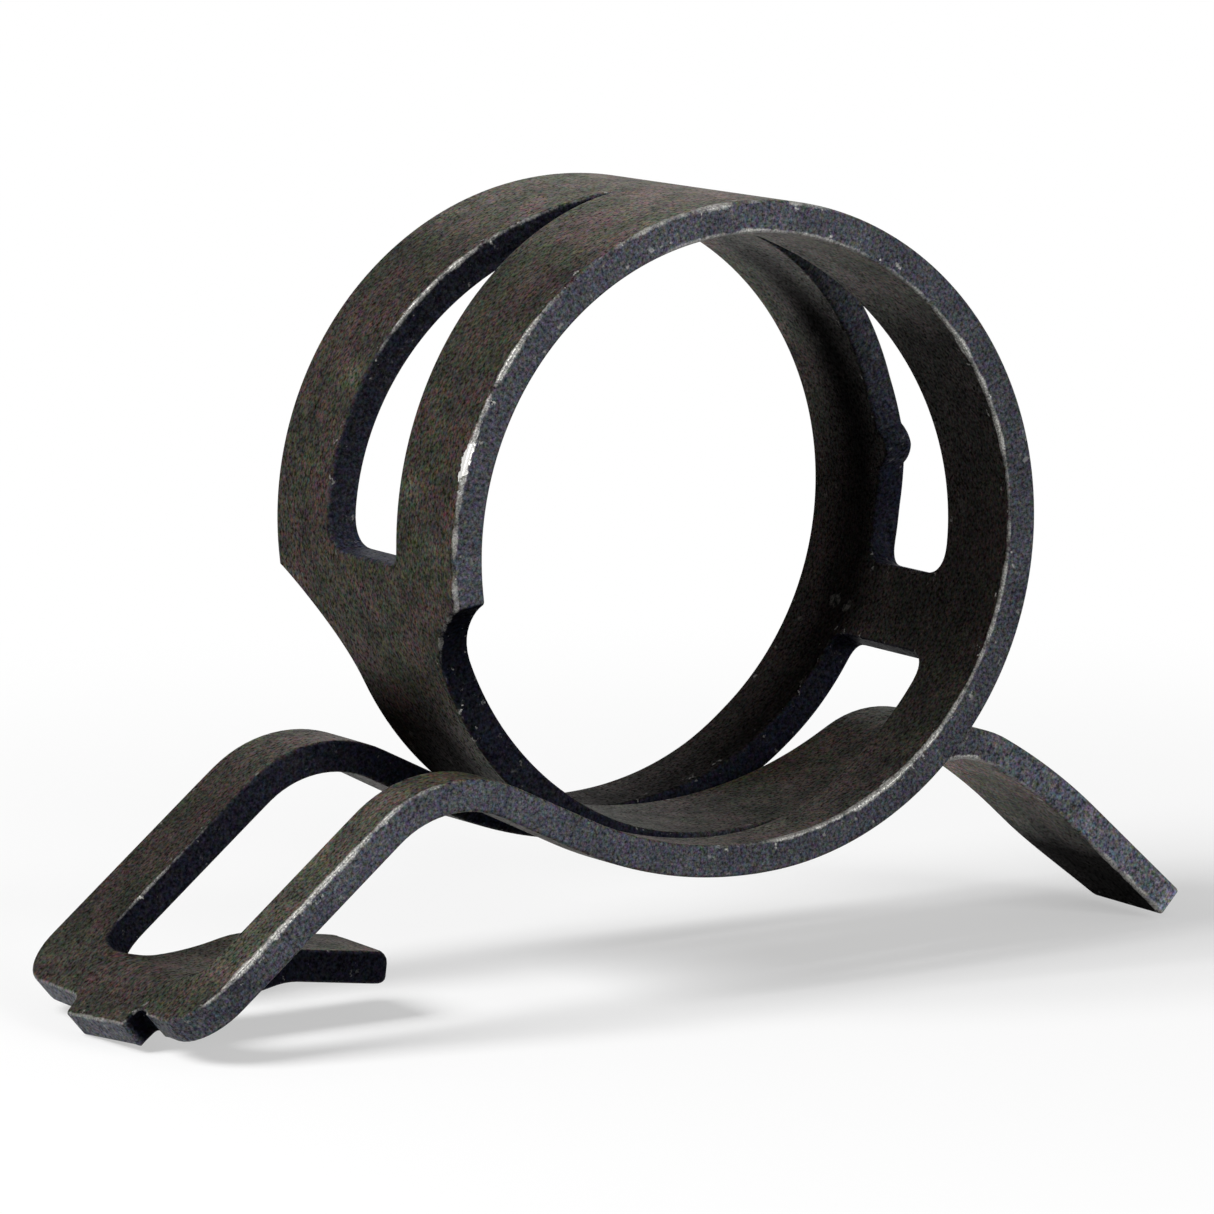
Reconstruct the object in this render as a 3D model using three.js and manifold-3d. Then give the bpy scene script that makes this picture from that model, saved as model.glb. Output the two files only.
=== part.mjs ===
// Spring-band hose clamp. Millimetres, +Z up. The ring's axis runs along Y.
// One strip of spring steel: a crown at the top, a narrow tongue on the left side that passes
// through a window in the forked right side, and an ear at each end to squeeze together.
import * as THREE from 'three';
import Module from 'manifold-3d';

// ---- strip ----
const W = 12;                    // strip width
const T = 1.05;                  // strip thickness
const RI = 9.8;                  // free inner radius of the ring
const RM = RI + T / 2;           // radius of the strip's middle surface
const GAP = 0.3;                 // split between two bodies at a flexure line
const STEP = 0.42;               // station spacing along the strip

// ---- where things sit round the ring, degrees from +X, counter-clockwise seen from -Y ----
const CROWN = 82;                // middle of the full-width crown
const FLEX_IN = 29.5;            // first flexure line, each side of the crown
const FLEX_OUT = 68;             // second flexure line, each side of the crown
const SLOT_L = [98.2, 181.9];    // left slot: tip, wide end
const SLOT_R = [66.4, -14.3];    // right slot: tip, wide end
const BRIDGE_END = -29.8;        // lower edge of the bridge between the right slot and the window
const SLOT_HALF = 0.19 * W;      // half width of a ring slot at its wide end
const SLOT_OFF = { left: 0.01 * W, right: -0.008 * W };   // how far each slot sits off the middle
const SLOT_POW = { left: 1.9, right: 1.75 };   // how slowly each slot narrows towards its tip
// corner radii at its wide end, front and back
const SLOT_CORNER = { left: [0.45, 1.15], right: [1.1, 0.75] };
const TIP_HALF = 0.12;           // half width left at its tip
// punching nib on the right slot's back edge, and the wider swell that it stands on
const NIB = { at: 6.9, half: 3.7, high: 0.5, reach: 12, swell: 0.26 };

// ---- paths of the two arms below the ring: radius and turn of each bend, length of each flat ----
// low is the flatter arc where the two arms pass through each other
const FORK = { leave: -85.8, lowR: 13.5, low: 30.6, rise: 2.95, bendR: 3.96, bend: 65.8, ear: 10.04 };
const TONGUE = {
  leave: 259.2, lowR: 14.9, low: 39, rise: 0.45, bendR: 3.25, bend: 59, curveR: 19.9, curve: 12.5,
};

// ---- tongue ----
const STEP_AT = 187.2;            // shoulder where the full width ends
const FRONT_TAPER = 2.4;         // length of the concave fillet under the front shoulder
const BACK_TAPER = 3.4;          // length of the concave taper on the back edge
const ROOT = [-0.34 * W, 0.187 * W];       // tongue's edges just below the shoulder
const TAIL = [-0.243 * W, 0.203 * W];      // tongue's edges where it leaves the ring
const TAPER = [232, 300];        // ring angles between which one becomes the other
const TIP_BACK = 0.1 * W;        // back edge at the tip of the right ear
const TIP_TAPER = 4;             // length over which the ear narrows to it

// ---- window in the forked arm and its ear ----
const WIN_TOP = [-0.245 * W, 0.225 * W];   // window's edges at the bridge
const WIN_LOW = [-0.344 * W, 0.243 * W];   // window's edges along the ear
const WIN_TAPER = [-41, -95];    // ring angles between which one becomes the other
const WIN_CORNER = [1.05, 0.6];  // corner radii at the bridge, front and back
const PLATE = 2.7;               // from the ear's end back to the window
const EAR_BACK = 0.482 * W;      // back edge of the ear, a little inside the ring's
const EAR_EASE = { before: 4, length: 6 };  // where it moves inward: before the bend, over a length
const WIN_END_R = 0.95;          // corner radius at the window's lower end
const STUB = [-0.213 * W, 0.078 * W];      // cut-off stub in the middle of the ear's end
const STUB_SLANT = 0.36;         // its end lies this much further out at the back than at the front
const END_SET = [0.98, 0.72];    // ear's end behind the stub, front and back
const END_R = [1.8, 1.7];        // corner radii of the ear's end, front and back

// ---- finger cut free in the window and folded down towards the ring ----
// start: where it leaves the ear's middle surface; then fold, dip, crest and a flat tip
const FINGER = {
  start: 1.0, fold: 1.8, foldR: 1.3, sag: 2, dip: 2.87, rise: 13.3, crestR: 3, fall: 8, tip: 3.25,
};
const FINGER_Y = [-0.225 * W, 0.055 * W];
const FINGER_FLARE = 0.085 * W;  // how much wider its back edge is at the fold
const FINGER_END = 0.85;         // length over which its end rounds off in plan
const FINGER_R = 0.3;            // rounding of its upper end edge

const wasm = await Module();
wasm.setup();
const rad = THREE.MathUtils.degToRad;
const lerp = (a, b, t) => a + (b - a) * t;
const clamp01 = (t) => Math.min(1, Math.max(0, t));
const ease = (t) => { const c = clamp01(t); return c * c * (3 - 2 * c); };

// A path is a start point and heading, then pieces of constant curvature. side is +1 where the
// ring's outside lies to the left of travel, and -1 where it lies to the right.
function makePath(x, z, heading, side, pieces) {
  const list = [];
  let s = 0;
  for (const [length, turn] of pieces) {
    list.push({ s, x, z, heading, k: turn / length, length });
    [x, z, heading] = advance(x, z, heading, turn / length, length);
    s += length;
  }
  return { list, length: s, side };
}

function advance(x, z, h, k, ds) {
  if (Math.abs(k) < 1e-9) return [x + ds * Math.cos(h), z + ds * Math.sin(h), h];
  const g = h + k * ds;
  return [x + (Math.sin(g) - Math.sin(h)) / k, z - (Math.cos(g) - Math.cos(h)) / k, g];
}

function at(path, s) {
  let p = path.list[0];
  for (const q of path.list) if (s >= q.s) p = q;
  const [x, z, h] = advance(p.x, p.z, p.heading, p.k, s - p.s);
  return { x, z, nx: -Math.sin(h) * path.side, nz: Math.cos(h) * path.side, h };
}

const bendPiece = (r, turnDeg, sign) => [r * rad(turnDeg), sign * rad(turnDeg)];
const ringPoint = (deg) => [RM * Math.cos(rad(deg)), RM * Math.sin(rad(deg))];

const forkPath = makePath(...ringPoint(CROWN), rad(CROWN - 90), 1, [
  bendPiece(RM, CROWN - FORK.leave, -1),
  bendPiece(FORK.lowR, FORK.low, -1),
  [FORK.rise, 0],
  bendPiece(FORK.bendR, FORK.bend, 1),
  [FORK.ear, 0],
]);
const forkAngle = (deg) => RM * rad(CROWN - deg);
const forkEnd = forkPath.length;

// The right ear is as long as it takes for both ears to stand on one level.
const lowest = (path, s) => { const p = at(path, s); return p.z - Math.abs(p.nz) * T / 2; };
const tonguePieces = (tip) => [
  bendPiece(RM, TONGUE.leave - CROWN, 1),
  bendPiece(TONGUE.lowR, TONGUE.low, 1),
  [TONGUE.rise, 0],
  bendPiece(TONGUE.bendR, TONGUE.bend, -1),
  bendPiece(TONGUE.curveR, TONGUE.curve, -1),
  [tip, 0],
];
const tonguePathFor = (tip) => makePath(...ringPoint(CROWN), rad(CROWN + 90), -1, tonguePieces(tip));
const probe = tonguePathFor(1);
const probeEnd = at(probe, probe.length);
const shortfall = lowest(probe, probe.length) - lowest(forkPath, forkEnd - STUB_SLANT / 2);
const tonguePath = tonguePathFor(1 + shortfall / -Math.sin(probeEnd.h));
const tongueAngle = (deg) => RM * rad(deg - CROWN);
const tongueEnd = tonguePath.length;

// Stations from s0 to s1, with extra ones where an outline turns quickly.
function stations(s0, s1, extra = []) {
  const n = Math.max(1, Math.ceil((s1 - s0) / STEP));
  const all = [...extra.filter((s) => s > s0 + 1e-4 && s < s1 - 1e-4)];
  for (let i = 0; i <= n; i++) all.push(lerp(s0, s1, i / n));
  all.sort((a, b) => a - b);
  return all.filter((s, i) => i === 0 || s - all[i - 1] > 0.012);
}

const fine = (s0, s1, n) => Array.from({ length: n + 1 }, (_, i) => lerp(s0, s1, i / n));

// Closed band along a path: lo(s) and hi(s) are its edges in Y, a and b its faces along the normal.
function sweep(path, list, lo, hi, a = -T / 2, b = T / 2) {
  const vert = [];
  for (const s of list) {
    const p = at(path, s);
    const y0 = lo(s);
    const y1 = hi(s);
    for (const [y, n] of [[y0, a], [y1, a], [y1, b], [y0, b]]) {
      vert.push(p.x + p.nx * n, y, p.z + p.nz * n);
    }
  }
  const tri = [];
  const last = (list.length - 1) * 4;
  for (let i = 0; i < list.length - 1; i++) {
    for (let j = 0; j < 4; j++) {
      const c = i * 4 + j;
      const d = i * 4 + (j + 1) % 4;
      tri.push(c, c + 4, d + 4, c, d + 4, d);
    }
  }
  tri.push(0, 1, 2, 0, 2, 3, last, last + 2, last + 1, last, last + 3, last + 2);
  for (let i = 0; path.side > 0 && i < tri.length; i += 3) {
    [tri[i + 1], tri[i + 2]] = [tri[i + 2], tri[i + 1]];
  }
  return { vert, tri };
}

function solid({ vert, tri }) {
  return new wasm.Manifold(new wasm.Mesh({
    numProp: 3,
    vertProperties: new Float32Array(vert),
    triVerts: new Uint32Array(tri),
  }));
}

function toGeometry(body) {
  const m = body.getMesh();
  const g = new THREE.BufferGeometry();
  g.setAttribute('position', new THREE.BufferAttribute(new Float32Array(m.vertProperties), 3));
  g.setIndex(new THREE.BufferAttribute(new Uint32Array(m.triVerts), 1));
  g.computeVertexNormals();
  return g;
}

// ---- ring slots: u runs from 0 at the wide end to 1 at the tip ----
const corner = (r, c) => (c > 0 ? r - Math.sqrt(Math.max(0, r * r - Math.min(c, r) ** 2)) : 0);
const slotHalf = (u, pow) => Math.max(TIP_HALF, SLOT_HALF * (1 - Math.pow(clamp01(u), pow)));
function slotOf(angleToS, [tip, wide], off, pow, [front, back]) {
  const s0 = angleToS(tip);
  const s1 = angleToS(wide);
  const halfAt = (s) => slotHalf((s1 - s) / (s1 - s0), pow);
  return {
    s0, s1,
    lo: (s) => off - halfAt(s) + corner(front, front - (s1 - s)),
    hi: (s) => off + halfAt(s) - corner(back, back - (s1 - s)),
    list: stations(s0, s1, [...fine(s1 - front, s1, 7), ...fine(s1 - back, s1, 6), ...fine(s0, s0 + 1, 4)]),
  };
}
const slotL = slotOf(tongueAngle, SLOT_L, SLOT_OFF.left, SLOT_POW.left, SLOT_CORNER.left);
const slotR = slotOf(forkAngle, SLOT_R, SLOT_OFF.right, SLOT_POW.right, SLOT_CORNER.right);
const nibS = [forkAngle(NIB.at + NIB.half), forkAngle(NIB.at - NIB.half)];
const nibMid = forkAngle(NIB.at);
const swell = (s) => NIB.swell * clamp01(1 - Math.abs(s - nibMid) / (RM * rad(NIB.reach)));
const nibTop = (s) => Math.max(0, Math.sin(Math.PI * clamp01((s - nibS[0]) / (nibS[1] - nibS[0]))));
const nib = (s) => swell(s) + NIB.high * Math.pow(nibTop(s), 0.7);
const slotBackR = (s) => slotR.hi(s) - nib(s);
const deep = T / 2 + 0.6;
const slotCutL = solid(sweep(tonguePath, slotL.list, slotL.lo, slotL.hi, -deep, deep));
const slotListR = stations(slotR.s0, slotR.s1, [
  ...slotR.list, nibMid - RM * rad(NIB.reach), ...fine(nibS[0], nibS[1], 8)]);
const slotCutR = solid(sweep(forkPath, slotListR, slotR.lo, slotBackR, -deep, deep));

const half = W / 2;
const flat = (y) => () => y;
const inL = tongueAngle(CROWN + FLEX_IN);
const outL = tongueAngle(CROWN + FLEX_OUT);
const inR = forkAngle(CROWN - FLEX_IN);
const outR = forkAngle(CROWN - FLEX_OUT);

// ---- crown: full width in the middle, split by the tips of the two slots at its ends ----
const crownPath = makePath(...ringPoint(CROWN + FLEX_IN), rad(CROWN + FLEX_IN - 90), 1,
  [bendPiece(RM, 2 * FLEX_IN, -1)]);
const crown = solid(sweep(crownPath, stations(GAP / 2, crownPath.length - GAP / 2), flat(-half), flat(half)))
  .subtract(slotCutL).subtract(slotCutR);

// ---- the four rails beside the ring slots ----
const rail = (path, s0, s1, lo, hi) => solid(sweep(path, stations(s0 + GAP / 2, s1 - GAP / 2), lo, hi));
const leftFront = rail(tonguePath, inL, outL, flat(-half), slotL.lo);
const leftBack = rail(tonguePath, inL, outL, slotL.hi, flat(half));
const rightFront = rail(forkPath, inR, outR, flat(-half), slotR.lo);
const rightBack = rail(forkPath, inR, outR, slotBackR, flat(half));

// ---- left side, shoulder, tongue and right ear ----
const stepS = tongueAngle(STEP_AT);
const taperT = (s) => ease((s - tongueAngle(TAPER[0])) / (tongueAngle(TAPER[1]) - tongueAngle(TAPER[0])));
function tongueFront(s) {
  if (s < stepS) return -half;
  const edge = lerp(ROOT[0], TAIL[0], taperT(s));
  const u = clamp01((s - stepS) / FRONT_TAPER);
  return lerp(-half, edge, Math.sin(Math.PI / 2 * Math.pow(u, 0.8)));
}
function tongueBack(s) {
  if (s < stepS) return half;
  const tip = ease((s - tongueEnd + TIP_TAPER) / TIP_TAPER * 0.75);
  const edge = lerp(lerp(ROOT[1], TAIL[1], taperT(s)), TIP_BACK, tip / ease(0.75));
  const u = clamp01((s - stepS) / BACK_TAPER);
  return lerp(half, edge, Math.sin(Math.PI / 2 * Math.pow(u, 0.9)));
}
const tongueList = stations(outL + GAP / 2, tongueEnd, [
  stepS, stepS + 0.02, ...fine(stepS + 0.05, stepS + 0.6, 5), ...fine(stepS + 0.6, stepS + 3.2, 10)]);
const tongueSide = solid(sweep(tonguePath, tongueList, tongueFront, tongueBack)).subtract(slotCutL);

// ---- right side, bridge, window, left ear ----
const bendS = forkEnd - FORK.ear - FORK.bendR * rad(FORK.bend);
const forkFront = (s) => {
  const c = END_R[0] - (forkEnd - END_SET[0] - s);
  if (c <= 0) return -half;
  return -half + END_R[0] - Math.sqrt(Math.max(0.01, END_R[0] ** 2 - Math.min(c, END_R[0] * 0.97) ** 2));
};
const forkBack = (s) => {
  const edge = lerp(half, EAR_BACK, ease((s - bendS + EAR_EASE.before) / EAR_EASE.length));
  const c = END_R[1] - (forkEnd - END_SET[1] - s);
  if (c <= 0) return edge;
  return edge - END_R[1] + Math.sqrt(Math.max(0.01, END_R[1] ** 2 - Math.min(c, END_R[1] * 0.97) ** 2));
};
// The ear's end steps back on each side of the stub.
const endFront = forkEnd - END_SET[0];
const endBack = forkEnd - END_SET[1];
const forkLo = (s) => {
  if (s <= endFront) return forkFront(s);
  const cut = 0.85 * clamp01(1 - (forkEnd - s) / STUB_SLANT);
  return lerp(STUB[0], STUB[1], cut) - 0.3 * (1 - clamp01((s - endFront) / 0.3)) ** 2;
};
const forkHi = (s) => (s > endBack ? STUB[1] + 0.8 * (1 - (s - endBack) / END_SET[1]) ** 2 : forkBack(s));
const forkList = stations(outR + GAP / 2, forkEnd, [
  ...fine(endFront - END_R[0], endFront, 7), endFront + 0.02,
  ...fine(endFront + 0.06, endFront + 0.3, 4), forkEnd - STUB_SLANT,
  ...fine(endBack - END_R[1], endBack, 8), endBack + 0.02, ...fine(endBack + 0.06, forkEnd, 6)]);

const winS0 = forkAngle(BRIDGE_END);
const winS1 = forkEnd - PLATE;
const winT = (s) => ease((s - forkAngle(WIN_TAPER[0])) / (RM * rad(WIN_TAPER[0] - WIN_TAPER[1])));
function winEdge(s, i) {
  const y = lerp(WIN_TOP[i], WIN_LOW[i], winT(s));
  const top = corner(WIN_CORNER[i], WIN_CORNER[i] - (s - winS0));
  const cut = top + corner(WIN_END_R, WIN_END_R - (winS1 - s));
  return y + (i === 0 ? cut : -cut);
}
const winList = stations(winS0, winS1, [
  ...fine(winS0, winS0 + WIN_CORNER[0], 7), ...fine(winS0, winS0 + WIN_CORNER[1], 5),
  ...fine(winS1 - WIN_END_R, winS1, 7)]);
const windowCut = solid(sweep(forkPath, winList, (s) => winEdge(s, 0), (s) => winEdge(s, 1), -deep, deep));

// The finger starts inside the ear, level with both its faces.
const rootAt = at(forkPath, forkEnd - FINGER.start);
const earRise = 90 + FORK.leave - FORK.low + FORK.bend;    // slope of the ear
const foldTurn = earRise + FINGER.sag;
const fingerPath = makePath(rootAt.x, rootAt.z, rad(earRise), 1, [
  [FINGER.fold - FINGER.start, 0], bendPiece(FINGER.foldR, foldTurn, -1),
  [FINGER.dip, rad(FINGER.sag + FINGER.rise)],
  bendPiece(FINGER.crestR, FINGER.rise + FINGER.fall, -1), [FINGER.tip, 0]]);
const fingerEnd = fingerPath.length;
const foldEnd = FINGER.fold - FINGER.start + FINGER.foldR * rad(foldTurn);
const fingerEdge = (s, i) => {
  const c = 0.9 * clamp01(1 - (fingerEnd - s) / FINGER_END);
  const mid = (FINGER_Y[0] + FINGER_Y[1]) / 2;
  const flare = i === 1 ? FINGER_FLARE * clamp01(1 - s / (foldEnd + 0.6)) ** 2 * 2.2 : 0;
  return mid + (FINGER_Y[i] - mid) * Math.sqrt(1 - c * c) + flare;
};
const fingerBody = sweep(fingerPath, stations(0, fingerEnd, fine(fingerEnd - FINGER_END, fingerEnd, 10)),
  (s) => fingerEdge(s, 0), (s) => fingerEdge(s, 1));
// round its upper end edge by lowering the upper face there
for (let i = 0; i < fingerBody.vert.length / 12; i++) {
  const p = fingerBody.vert.slice(i * 12, i * 12 + 12);
  const tip = at(fingerPath, fingerEnd);
  const left = Math.max(0, (tip.x - p[6]) * Math.cos(tip.h) + (tip.z - p[8]) * Math.sin(tip.h));
  if (left < FINGER_R) {
    const c = FINGER_R - left;
    const low = FINGER_R - Math.sqrt(Math.max(0, FINGER_R ** 2 - c * c));
    for (const k of [6, 9]) {
      fingerBody.vert[i * 12 + k] -= tip.nx * low;
      fingerBody.vert[i * 12 + k + 2] -= tip.nz * low;
    }
  }
}
const forkSide = solid(sweep(forkPath, forkList, forkLo, forkHi))
  .subtract(slotCutR).subtract(windowCut).add(solid(fingerBody));

// ---- scene ----
const steel = (hex, name) => {
  const m = new THREE.MeshStandardMaterial({ color: hex, metalness: 0.75, roughness: 0.55 });
  m.name = name;
  return m;
};
const group = new THREE.Group();
group.name = 'spring_band_clamp';
const pieces = [
  ['crown_band', crown, 0x2b2a28],
  ['left_rail_front', leftFront, 0x2d2c29],
  ['left_rail_back', leftBack, 0x2a2926],
  ['right_rail_front', rightFront, 0x2d2c29],
  ['right_rail_back', rightBack, 0x2a2926],
  ['tongue_side', tongueSide, 0x2c2b28],
  ['fork_side', forkSide, 0x292825],
];
// Everything above is drawn round the ring's centre. The part's own origin is at the level that
// the ears stand on, under the middle of the whole clamp.
const box = new THREE.Box3();
for (const [name, body, hex] of pieces) {
  const mesh = new THREE.Mesh(toGeometry(body), steel(hex, 'black_spring_steel'));
  mesh.name = name;
  box.union(new THREE.Box3().setFromObject(mesh));
  group.add(mesh);
}
const middle = box.getCenter(new THREE.Vector3());
for (const mesh of group.children) mesh.geometry.translate(-middle.x, -middle.y, -box.min.z);

export default group;
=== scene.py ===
import math
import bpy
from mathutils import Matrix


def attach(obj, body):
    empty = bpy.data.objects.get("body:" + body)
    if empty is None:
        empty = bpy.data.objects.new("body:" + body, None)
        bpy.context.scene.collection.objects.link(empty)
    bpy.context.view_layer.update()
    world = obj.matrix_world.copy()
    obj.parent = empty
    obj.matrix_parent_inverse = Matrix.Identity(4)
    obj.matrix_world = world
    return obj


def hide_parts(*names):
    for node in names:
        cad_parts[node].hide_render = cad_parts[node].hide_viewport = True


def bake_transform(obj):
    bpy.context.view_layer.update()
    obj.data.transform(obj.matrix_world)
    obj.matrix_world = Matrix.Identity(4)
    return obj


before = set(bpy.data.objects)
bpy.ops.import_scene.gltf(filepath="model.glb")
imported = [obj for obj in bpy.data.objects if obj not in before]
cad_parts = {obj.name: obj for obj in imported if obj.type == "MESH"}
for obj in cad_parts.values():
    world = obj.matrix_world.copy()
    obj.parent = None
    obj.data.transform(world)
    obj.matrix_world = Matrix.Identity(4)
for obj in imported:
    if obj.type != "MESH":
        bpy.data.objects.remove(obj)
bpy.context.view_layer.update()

from types import SimpleNamespace as Sizes

import bpy
import numpy as np
from mathutils import Matrix, Vector
from mathutils.geometry import delaunay_2d_cdt

# The clamp is one strip of spring steel. Each side of its crown is drawn flat, as the blank that it was
# punched as, and then laid along the side's bends. s runs along the strip from the crown's middle, y
# across it and n through its thickness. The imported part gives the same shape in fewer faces.
# Lengths are in millimetres, angles in degrees. A pair is for the front (-Y) and the back edge, unless its
# comment says otherwise.
MM = 0.001
rad = math.radians

# ---- the strip and its ring ----
W = 12.0  # width of the strip
HALF = W / 2
T = 1.05  # thickness
RI = 9.8  # inner radius of the ring
RM = RI + T / 2  # radius of its middle surface
ORIGIN = (1.2274263, 14.8793346)  # the ring's centre in the part's frame, x and z
OVER = 1.5  # each blank runs on past the crown's middle, and this is left off
ROUND_OUT = 0.13  # rounding of the edges at the outer face
ROUND_IN = 0.1  # and at the inner face

# ---- places round the ring, in degrees from +X, counter-clockwise seen from the front ----
CROWN = 82.0  # the crown's middle
SLOT_L = (98.2, 181.9)  # left slot: tip, wide end
SLOT_R = (66.4, -14.3)  # right slot: tip, wide end
STEP_AT = 187.2  # shoulders where the full width ends
BRIDGE_END = -29.8  # edge of the window
SEAM_L, SEAM_R = 186.0, -20.0  # seams just below the slots

# ---- the flexes, in degrees from the crown's middle on each side ----
FLEX_IN, FLEX_OUT = 29.5, 68.0
FLEX_REACH = 6.5  # places this far on each side of a flex are found on the strip
SEAM_MID = (FLEX_IN + FLEX_OUT) / 2  # seam between them

# ---- slots ----
SLOT_HALF = 0.19 * W  # half the width at the wide end
TIP_HALF = 0.12  # and at the tip
TIP_R = 0.11  # its corners
POWER_L, POWER_R = 1.9, 1.75  # how the slots widen from tip to end
CORNER_L, CORNER_R = (0.45, 1.15), (1.1, 0.75)  # corner radii at the wide ends
SLOT_Y_L, SLOT_Y_R = 0.01 * W, -0.008 * W  # middle of each slot
NIB = Sizes(at=7.9, half=3.7, high=0.42)  # punching nib on the right back rail: degrees, and height
SWELL, SWELL_HALF = 0.26, 12.0  # the rail is wider round the nib, over this many degrees each way

# ---- bends of the two arms: where each leaves the ring, then radii, angles and straight lengths ----
FORK = Sizes(leave=-85.8, low_r=13.5, low=30.6, rise=2.95, bend_r=3.96, bend=65.8, ear=10.04)
TONGUE = Sizes(leave=259.2, low_r=14.9, low=39, rise=0.45, bend_r=3.25, bend=59, curve_r=19.9, curve=12.5)

# ---- tongue ----
SHOULDER_R = (0.14, 0.12)  # corners of the shoulders
TAPER, TAPER_POWER = (2.4, 3.4), (0.8, 0.9)  # length over which each edge moves in, and how round
ROOT = (-0.34 * W, 0.187 * W)  # its edges just below the shoulders
TAIL = (-0.243 * W, 0.203 * W)  # and at the right ear
NARROWS = (232.0, 300.0)  # it goes from the one to the other between these degrees
TIP_BACK, TIP_LONG = 0.1 * W, 4.0  # its back edge at the tip, and the length of the slant there
TIP_SLANT = 0.75  # the slant is this share of a full ease
TONGUE_R = 0.22  # corners of the tip

# ---- fork: window, ear and stub ----
WIN_TOP = (-0.245 * W, 0.225 * W)  # edges of the window at its top
WIN_LOW = (-0.344 * W, 0.243 * W)  # and in the lower bends
WIDENS = (-41.0, -95.0)  # it goes from the one to the other between these degrees
WIN_TOP_R, WIN_END_R = (1.05, 0.6), (0.95, 1.4)  # its corners
PLATE = 2.7  # the window ends this far from the ear's end
EAR_BACK = 0.482 * W  # back edge of the ear, a little inside the ring's
EAR_EASE = Sizes(before=4, length=6)  # where it moves in: before the bend, over a length
STUB = (-0.213 * W, 0.078 * W)  # cut-off stub in the middle of the ear's end
STUB_FOOT = (0.05, 0.25)  # its foot is this much wider
STUB_SLANT = 0.36  # its end lies this much further out at the back than at the front
STUB_R = Sizes(notch=0.05, front=0.1, back=0.14, foot=0.34)  # its corners, from front to back
NOTCH = Sizes(wide=0.7, deep=0.1)  # half-round notch in front of the stub
END_SET = (0.98, 0.72)  # the ear ends this far short of the stub
END_R = (1.8, 1.7)  # corners of the ear
# How much lower the back edge hangs than the front edge. The angles go on past the ring's end.
TWIST = [(-52, 0), (-62, 0.07), (-80, 0.13), (-100, 0.22), (-125, 0.2), (-150, 0.11), (-172, 0.07)]

# ---- finger cut free in the window and folded down towards the ring: lengths, radii and angles ----
FINGER = Sizes(start=1.0, fold=1.8, fold_r=1.3, sag=2.0, dip=2.87, rise=13.3, crest_r=3.0, fall=8.0, tip=3.25)
FINGER_Y = (-0.225 * W, 0.065 * W)
FLARE, FLARE_PAST = 0.187 * W, 0.6  # its back edge moves out to the root, from this far past the fold
ROOT_R, FINGER_R = (0.45, 0.5), 0.6  # corners in the window beside it, and its own
PULLED = 0.7  # the plate is pulled down with it up to this far beside it
PAST_TIP = 0.6  # nothing is folded from this far past its tip
TIP_ROUND = 0.32  # the edges at its tip are rounded this much more
TIP_ROUND_OUT = 0.3  # share of that at the outer face
TIP_ROUND_LONG = 0.6  # it fades out over this length

# ---- how finely the strip is drawn ----
DENSE = 0.02  # spacing of an outline's samples
TURN_REACH, SMOOTH = 3, 9  # samples that a turn is measured over each way, and averaged over
FINE, WIDE = 0.05, 0.3  # least and greatest spacing of an outline's points
PER_RADIUS = 0.16  # their spacing, as a share of the radius there
EDGE_ANGLES = [90, 67.5, 45, 22.5, 0]  # rows of a rounded edge, from a face to the wall
SEAM_STEP = 0.5  # spacing of the points on a seam
SEAM_CLEAR, EDGE_CLEAR = 0.16, 0.17  # a face's inner points stay this far from seams and edges
GRID_STEP, GRID_ACROSS, GRID_IN = 0.36, 24, 0.25  # their spacing along, number across and margin
TONGUE_TIGHT = Sizes(start=10.1, end=14.6, step=0.18)  # past the ring's end: the right ear's bend
FORK_TIGHT = Sizes(start=15.2, end=9.6, step=0.2)  # before the fork's end: the left ear's bend
FINGER_TIGHT = Sizes(start=7.6, end=1.7, step=0.16)  # and the finger's folds
SLOT, WINDOW = 1, 2  # numbers of the openings' outlines. 0 is the outer edge, -1 none

# ---- finish ----
RUB_WIDE = 0.9  # the front edges are rubbed over this width
RUB_LEAST = 0.08  # every edge is rubbed this much
SPECKS = ((169, -2.9), (152, 2.9), (178, -4.6))  # pale specks on the left side: degrees and y
CHIP_AT, CHIP_IN = 162, 0.1  # the chip: degrees, and how far in from the front edge
CHIP_SCALE = (0.62, 2.4, 2.6)  # the larger, the shorter it is along, across and through
BROWN, OLIVE = (0.055, 0.035, 0.03), (0.037, 0.042, 0.022)  # red, green and blue
# Tint of the faces in the painted shade
RED_IN_PAINTED_SHADE = (0.052, 0.031, 0.029)
DARK_PATCH = (0.02, 0.018, 0.016)
WALL_DARK, WALL_PALE = (0.027, 0.029, 0.037), (0.064, 0.066, 0.077)
WALL_STREAK = (0.02, 0.021, 0.029)
# Tint of the punched edges in the painted shade
WALL_IN_PAINTED_SHADE = (0.035, 0.037, 0.066)
HUE_SPREAD, HUE_BASE = (3.8, 3.1, 4.0), (-0.9, -0.55, -1.0)  # how far the grains differ in hue
RUBBED, BARE, CHIPPED = (0.13, 0.125, 0.115), (0.37, 0.365, 0.34), (0.62, 0.61, 0.59)

# ---- stage, in metres ----
WHITE = (1, 1, 1)
FLOOR_HALF = 3
FLOOR_NEAR, FLOOR_BOUNCE = 0.95, 0.3  # brightness near the clamp, and for the light it throws back
FLOOR_FADE = (0.02, 0.075)  # the shadow fades out between these distances
FLOOR_GLOW = 0.45  # share of the shadowless white near the clamp
SKY = 0.16  # strength of the light from all round
LAMPS_AIM = (0, 0, 0.012)

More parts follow.
